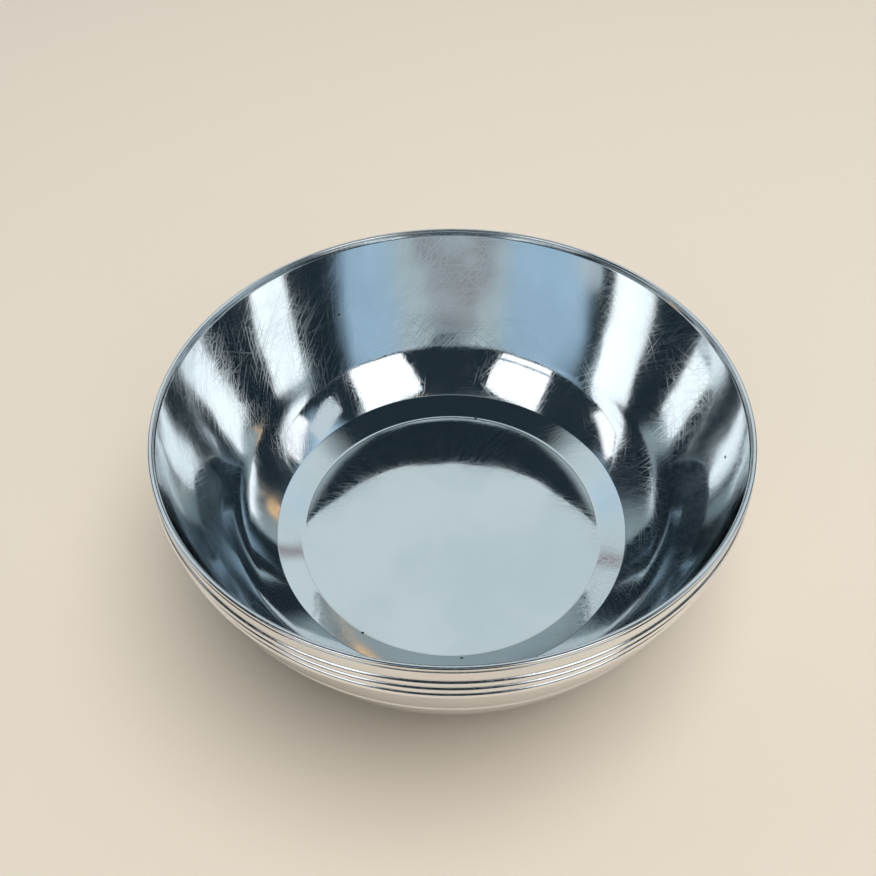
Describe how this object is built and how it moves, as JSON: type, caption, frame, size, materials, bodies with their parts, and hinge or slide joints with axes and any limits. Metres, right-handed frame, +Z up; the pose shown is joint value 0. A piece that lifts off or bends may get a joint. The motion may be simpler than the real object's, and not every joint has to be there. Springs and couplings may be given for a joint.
{
  "type": "shaving bowl",
  "caption": "Round polished metal lathering bowl with sloping walls, a crowned flat floor, a wired rim, raised bands round the outside and a foot ring.",
  "frame": {"origin": "centre of the foot ring's underside, on the bowl's axis", "axes": "+Z up along the bowl's axis, out of its mouth; X and Y are free, because the bowl is round"},
  "size_m": [0.1106, 0.1106, 0.042],
  "materials": {
    "inner_polish": "polished, fine hairline scratches and small pits",
    "outer_polish": "bright polished",
    "wire_polish": "bright polished, with small nicks on the rim",
    "foot_satin": "polished, worn satin where it stands"
  },
  "bodies": {
    "root": {"inner_shell": "inner_polish", "outer_shell": "outer_polish", "rim_wire": "wire_polish", "upper_reed_wire": "wire_polish", "middle_reed_wire": "wire_polish", "lower_reed_wire": "wire_polish", "foot_ring": "foot_satin"}
  },
  "joints": []
}
